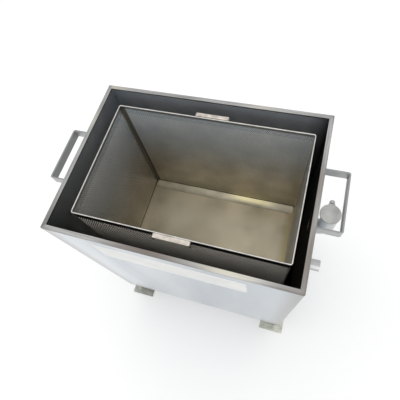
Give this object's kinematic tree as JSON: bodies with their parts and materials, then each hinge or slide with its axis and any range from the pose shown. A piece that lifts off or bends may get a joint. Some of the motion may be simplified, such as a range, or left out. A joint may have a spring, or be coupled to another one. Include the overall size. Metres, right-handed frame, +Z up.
{
  "type": "steam wax melter",
  "caption": "Rectangular stainless tank on legs with a lift-out perforated basket over a sloping wax tray, side handles, a lidded water filler and a wax outlet tube.",
  "frame": {"origin": "on the floor, at the middle of the overall length and depth", "axes": "+X towards the wall with the filler and the wax outlet, +Y to the rear, +Z up"},
  "size_m": [0.746, 0.462, 0.79],
  "materials": {
    "tank_sheet": "bright rolled stainless sheet",
    "rim_bar": "ground stainless flat bar",
    "leg_steel": "stainless tube and plate",
    "handle_strap": "satin stainless strap",
    "pipe_steel": "bright stainless pipe",
    "lid_fitting": "satin stainless",
    "inside_steel": "dull stainless, used with wax",
    "basket_sheet": "perforated stainless sheet",
    "basket_wire": "bright stainless wire and strap"
  },
  "bodies": {
    "tank": {"tank_front_wall": "tank_sheet", "tank_rear_wall": "tank_sheet", "tank_left_wall": "tank_sheet", "tank_right_wall": "tank_sheet", "tank_base": "tank_sheet", "rim_front_bar": "rim_bar", "rim_rear_bar": "rim_bar", "rim_left_bar": "rim_bar", "rim_right_bar": "rim_bar", "front_left_leg": "leg_steel", "front_right_leg": "leg_steel", "rear_left_leg": "leg_steel", "rear_right_leg": "leg_steel", "front_left_foot_plate": "leg_steel", "front_right_foot_plate": "leg_steel", "rear_left_foot_plate": "leg_steel", "rear_right_foot_plate": "leg_steel", "left_handle": "handle_strap", "right_handle": "handle_strap", "filler_elbow": "pipe_steel", "lid_pivot_lug": "lid_fitting", "lid_pivot_washer": "lid_fitting", "lid_pivot_rivet": "lid_fitting", "outlet_tube": "pipe_steel", "tray_floor": "inside_steel", "tray_front_wall": "inside_steel", "tray_rear_wall": "inside_steel", "tray_left_wall": "inside_steel", "tray_right_wall": "inside_steel", "tray_support_left": "inside_steel", "tray_support_right": "inside_steel", "basket_bar_left": "inside_steel", "basket_bar_right": "inside_steel"},
    "basket": {"basket_front_sheet": "basket_sheet", "basket_rear_sheet": "basket_sheet", "basket_left_sheet": "basket_sheet", "basket_right_sheet": "basket_sheet", "basket_floor": "basket_sheet", "basket_rim_wire": "basket_wire", "basket_front_handle": "basket_wire", "basket_rear_handle": "basket_wire"},
    "lid": {"filler_lid": "lid_fitting"}
  },
  "joints": [
    {"name": "basket_lift", "type": "slide", "parent": "tank", "child": "basket", "axis": [0, 0, 1], "range_m": [0, 0.5]},
    {"name": "lid_swivel", "type": "hinge", "parent": "tank", "child": "lid", "pos_m": [0.32, 0.0305, 0.7053], "axis": [0, 0, 1], "range_deg": [0, 170]}
  ]
}
